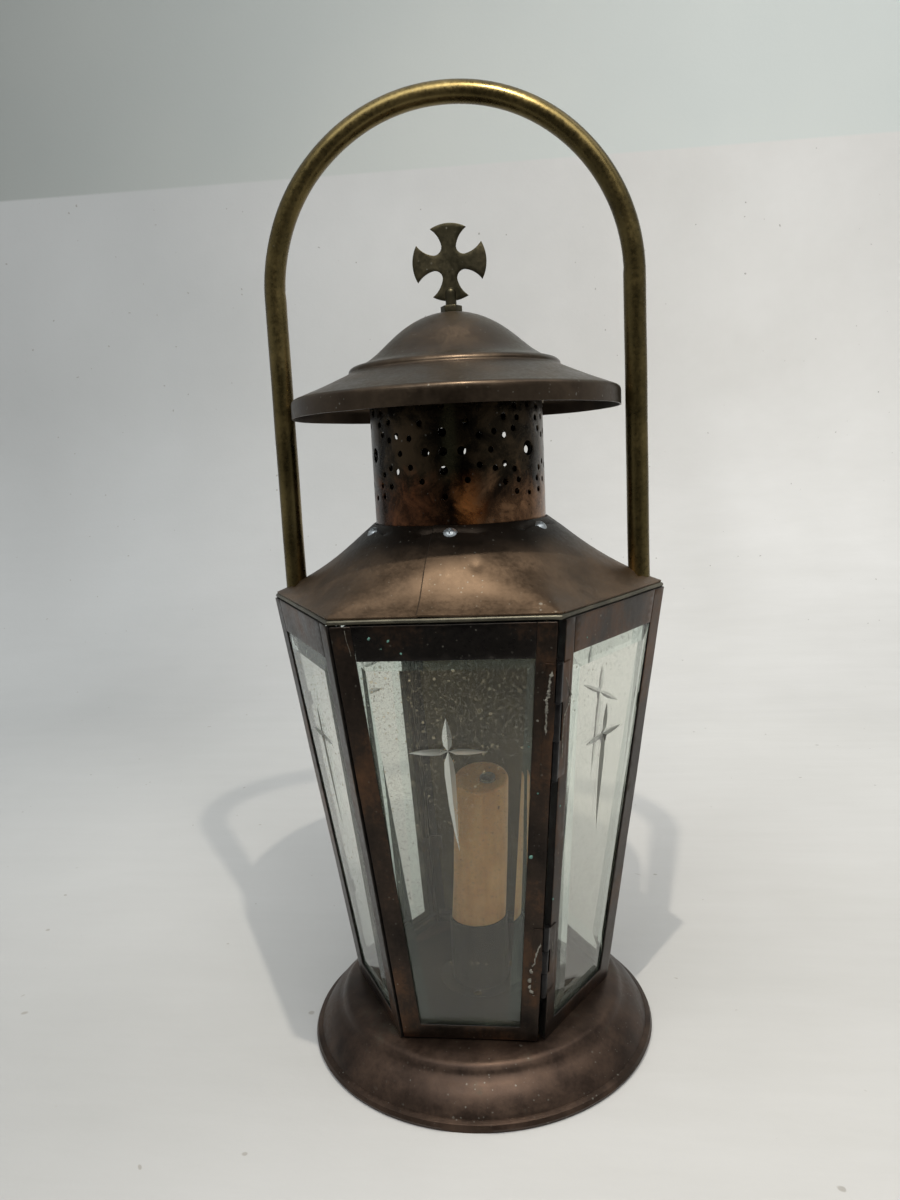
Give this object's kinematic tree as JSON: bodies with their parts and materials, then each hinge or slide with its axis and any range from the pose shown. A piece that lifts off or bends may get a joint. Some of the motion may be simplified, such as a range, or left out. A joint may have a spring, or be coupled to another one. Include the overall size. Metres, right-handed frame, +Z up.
{
  "type": "processional lantern",
  "caption": "Hexagonal glazed lantern on a round foot, with a hinged door, a candle, a pierced chimney under a smoke cap, a cross finial and a tall bent tube handle.",
  "frame": {"origin": "on the surface that the lantern stands on, under the middle of its foot", "axes": "+Z up, the door faces -Y, the legs of the handle stand at +X and -X"},
  "size_m": [0.2254, 0.2028, 0.5379],
  "materials": {
    "foot_copper": "brown patina, satin",
    "roof_copper": "brown patina, satin",
    "chimney_copper": "dark patina, satin",
    "frame_copper": "dark brown patina",
    "aged_brass": "tarnished, semi gloss",
    "zinc_screws": "zinc plated",
    "spring_steel": "satin",
    "hinge_iron": "blackened",
    "wick_tube": "dull",
    "bevelled_glass": "clear, bevelled edges and a cut cross",
    "candle_wax": "waxy",
    "wick": "charred cotton"
  },
  "bodies": {
    "lantern": {"foot": "foot_copper", "candle_cup": "aged_brass", "candle_cup_rivets": "aged_brass", "frame_hinge_leaves": "hinge_iron", "hinge_pins": "hinge_iron", "door_catch_spring": "spring_steel", "roof": "roof_copper", "eave_moulding": "roof_copper", "chimney": "chimney_copper", "chimney_screws": "zinc_screws", "chimney_nuts": "zinc_screws", "smoke_cap": "roof_copper", "cap_bridge": "aged_brass", "cap_bridge_rivets": "aged_brass", "finial_post": "aged_brass", "finial_nut": "aged_brass", "post_nuts": "aged_brass", "finial_cross": "aged_brass", "handle": "aged_brass", "handle_studs": "aged_brass", "handle_spacers": "aged_brass", "handle_nuts": "aged_brass", "panel_glass_clips": "frame_copper", "right_front_frame": "frame_copper", "right_front_top_band": "frame_copper", "right_front_glass": "bevelled_glass", "right_rear_frame": "frame_copper", "right_rear_top_band": "frame_copper", "right_rear_glass": "bevelled_glass", "left_rear_frame": "frame_copper", "left_rear_top_band": "frame_copper", "left_rear_glass": "bevelled_glass", "left_front_frame": "frame_copper", "left_front_top_band": "frame_copper", "left_front_glass": "bevelled_glass", "back_frame": "frame_copper", "back_top_band": "frame_copper", "back_sheet": "frame_copper"},
    "door": {"door_frame": "frame_copper", "door_top_band": "frame_copper", "door_glass": "bevelled_glass", "door_glass_clips": "frame_copper", "door_hinge_leaves": "hinge_iron"},
    "candle": {"candle": "candle_wax", "wick_tube": "wick_tube", "wick": "wick"}
  },
  "joints": [
    {"name": "door_hinge", "type": "hinge", "parent": "lantern", "child": "door", "pos_m": [0.0378, -0.06547, 0.027], "axis": [0.0755, -0.1308, 0.9885], "range_deg": [0, 150]},
    {"name": "candle_lift", "type": "slide", "parent": "lantern", "child": "candle", "axis": [0, 0, 1], "range_m": [0, 0.045]}
  ]
}
